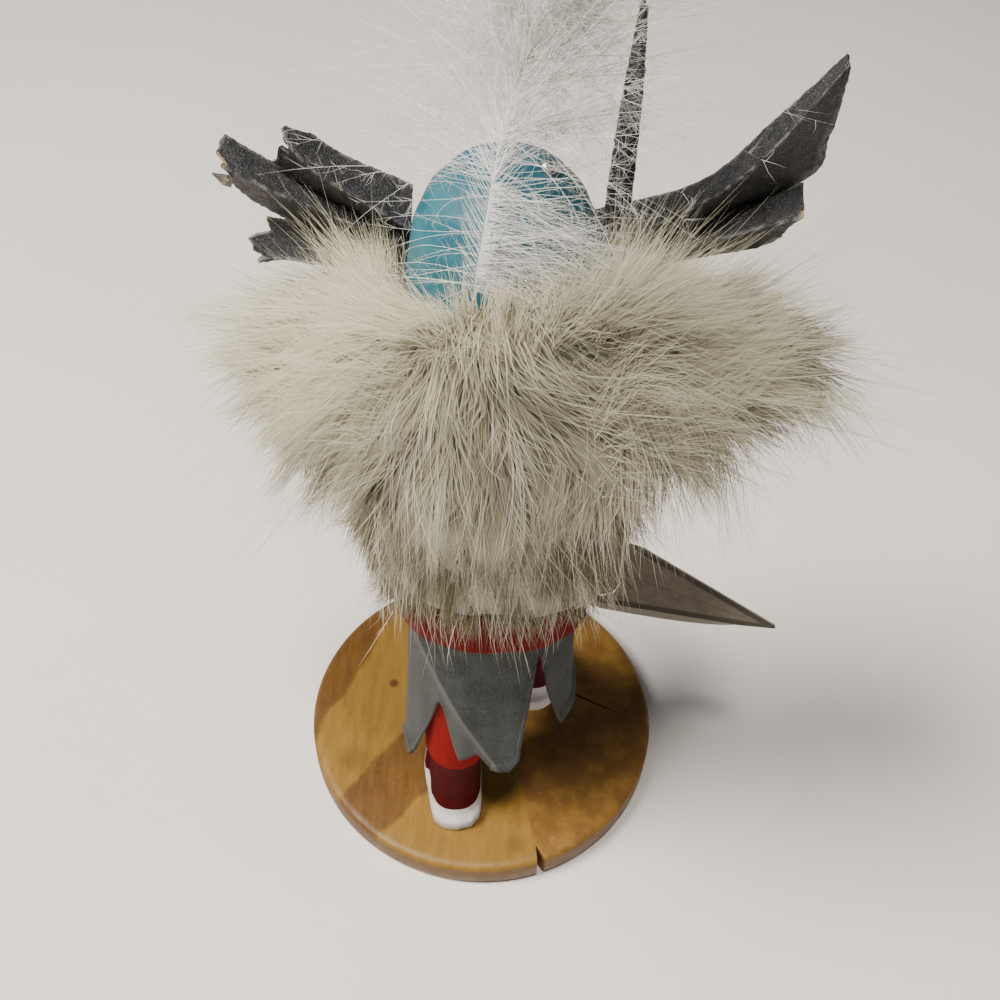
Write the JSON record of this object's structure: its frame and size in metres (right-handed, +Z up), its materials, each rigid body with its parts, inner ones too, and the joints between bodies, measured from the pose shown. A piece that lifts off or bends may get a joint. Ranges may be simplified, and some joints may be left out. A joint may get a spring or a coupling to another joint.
{
  "type": "kachina doll",
  "caption": "Carved and painted dancer on a slice of wood, with a turquoise case mask, black pleated wings, a down plume, a fur ruff and cape, and a suede kilt.",
  "frame": {"origin": "centre of the base's round underside", "axes": "+Z up through the doll, +Y the way the dancer faces, +X towards the dancer's right hand"},
  "size_m": [0.0931, 0.0831, 0.178],
  "materials": {
    "base_wood": "varnished slice of a branch, honey yellow to brown",
    "body_paint": "painted wood: red legs, maroon boots, white soles",
    "mask_paint": "chalky turquoise paint on carved wood",
    "wing_paint": "stiff pleated sheet with worn black paint",
    "down": "white down feather",
    "stud_metal": "small shiny stud",
    "fur": "long cream rabbit fur",
    "felt": "bright red felt",
    "suede": "grey-blue suede",
    "blade_leather": "stiff taupe leaf with dark borders"
  },
  "bodies": {
    "root": {"base": "base_wood", "figure": "body_paint", "head": "mask_paint", "wing_right": "wing_paint", "wing_left": "wing_paint", "head_plume": "down", "head_stud": "stud_metal", "fur_ruff": "fur", "fur_cape": "fur", "waist_sash": "felt", "kilt": "suede", "hand_blade": "blade_leather"}
  },
  "joints": []
}
